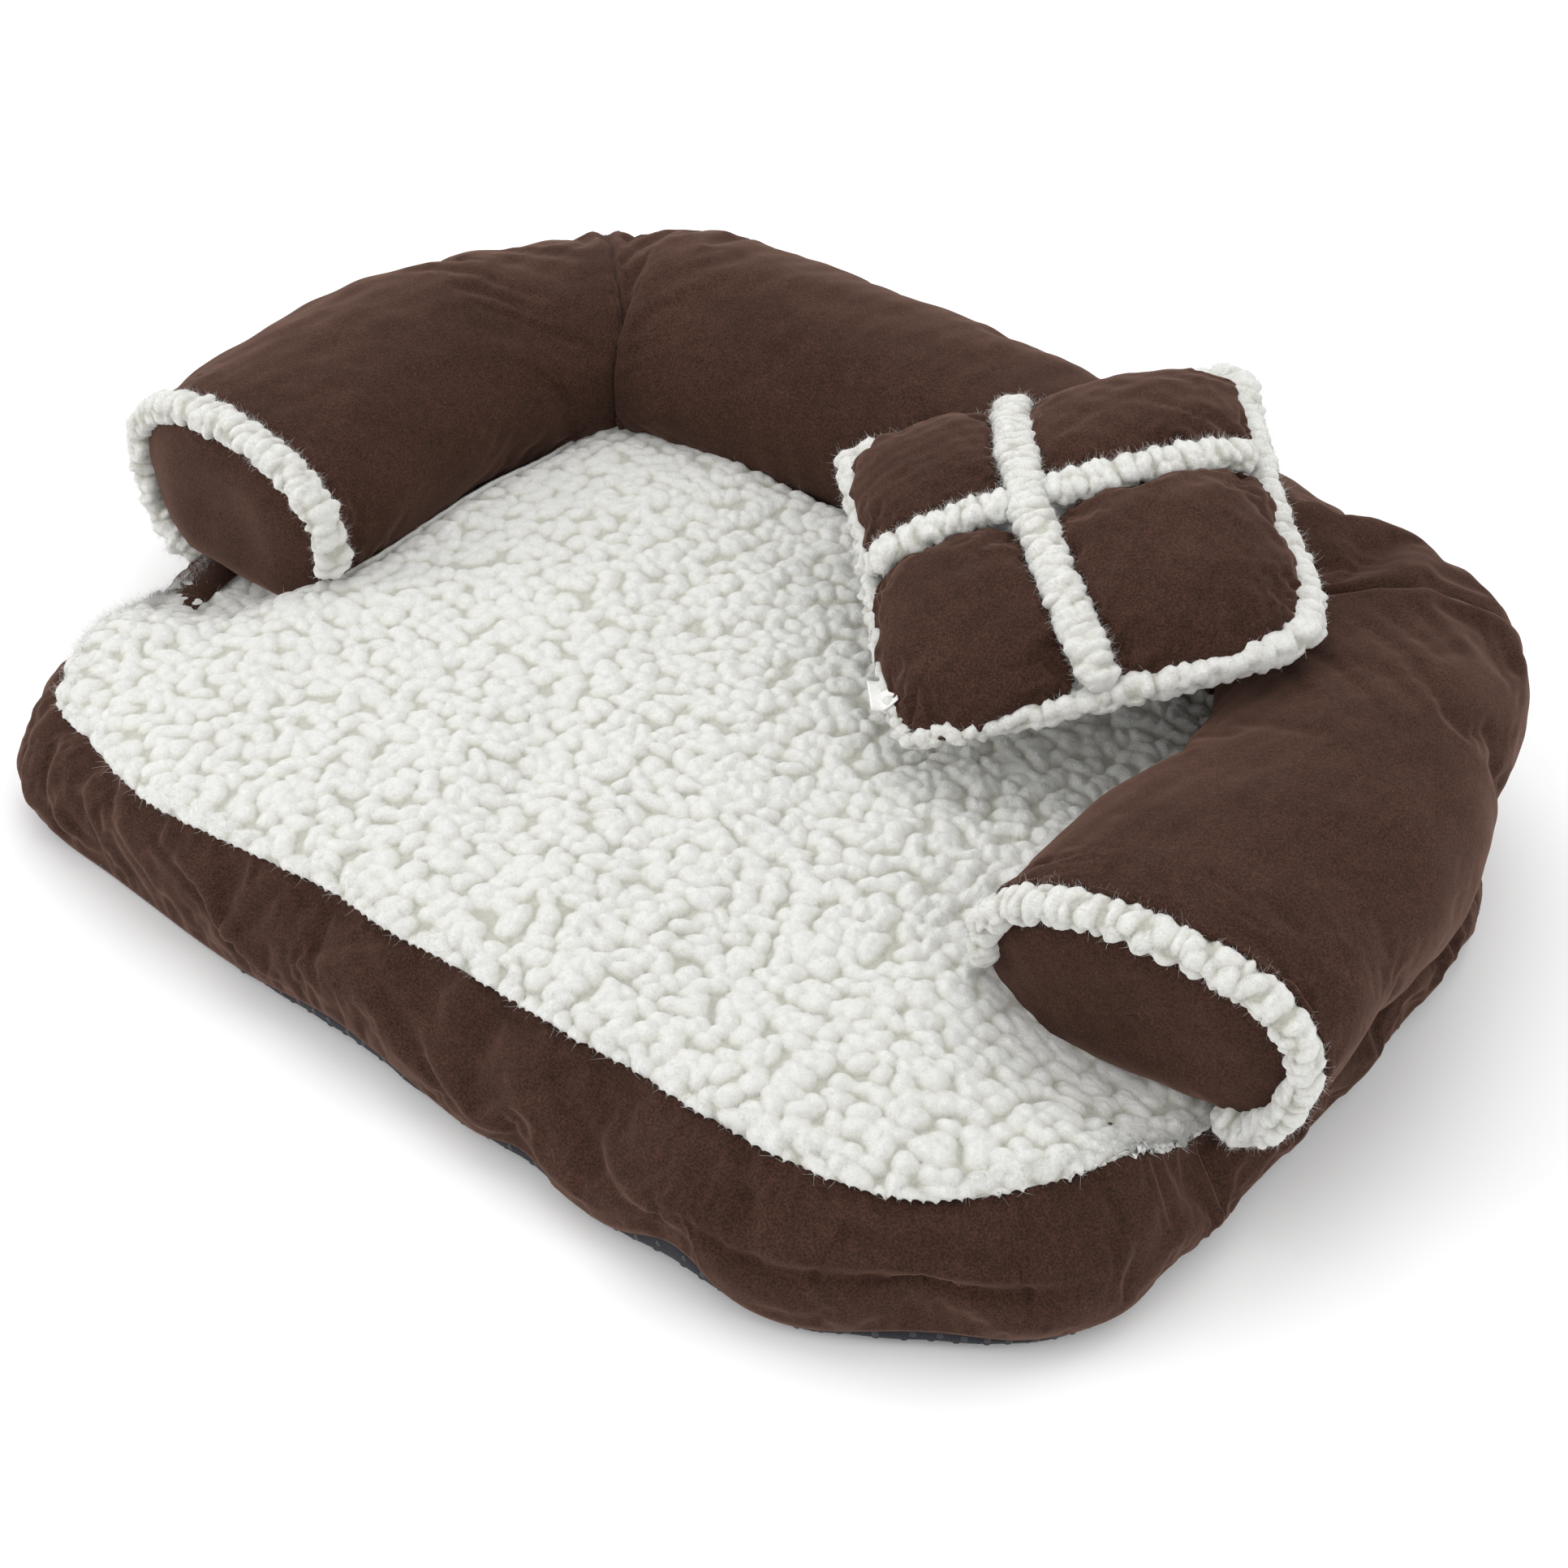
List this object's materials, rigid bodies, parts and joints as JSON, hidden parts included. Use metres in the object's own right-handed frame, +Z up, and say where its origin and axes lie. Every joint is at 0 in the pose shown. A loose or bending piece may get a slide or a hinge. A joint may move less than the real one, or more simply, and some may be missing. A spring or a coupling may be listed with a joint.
{
  "type": "pet cushion bed",
  "caption": "Sofa-style pet bed: sherpa sleeping mattress in suede boxing, C-shaped stuffed bolster with fleece-trimmed arm ends, and a loose square pillow",
  "frame": {"origin": "bottom centre of the whole object's box, on the floor under the middle of the bed", "axes": "+X across the bed's width to the right when seen from its open front, +Y from the open front towards the back bolster, +Z up"},
  "size_m": [0.551, 0.398, 0.142],
  "materials": {
    "suede": "matt dark brown brushed microsuede with a faint nap",
    "sherpa": "off-white curly sherpa fleece, pile in rounded tufts",
    "stuffing": "white polyester fibre",
    "grip_fabric": "near-black non-skid cloth with moulded dots",
    "tag": "plain white woven satin label, blank"
  },
  "bodies": {
    "bed": {"front_boxing": "suede", "rear_boxing": "suede", "left_arm_cover": "suede", "back_bolster_cover": "suede", "right_arm_cover": "suede", "left_end_cap": "suede", "right_end_cap": "suede", "sherpa_top_panel": "sherpa", "left_end_trim": "sherpa", "right_end_trim": "sherpa", "mattress_fill": "stuffing", "left_arm_fill": "stuffing", "back_bolster_fill": "stuffing", "right_arm_fill": "stuffing", "base_bottom_panel": "grip_fabric"},
    "pillow": {"pillow_patch_upper_left": "suede", "pillow_patch_upper_right": "suede", "pillow_patch_lower_left": "suede", "pillow_patch_lower_right": "suede", "pillow_strap_long": "sherpa", "pillow_strap_left": "sherpa", "pillow_strap_right": "sherpa", "pillow_sherpa_back": "sherpa", "pillow_fill": "stuffing", "pillow_tag": "tag"}
  },
  "joints": [
    {"name": "pillow_lift", "type": "slide", "parent": "bed", "child": "pillow", "axis": [0, 0, 1], "range_m": [0, 0.15]}
  ]
}
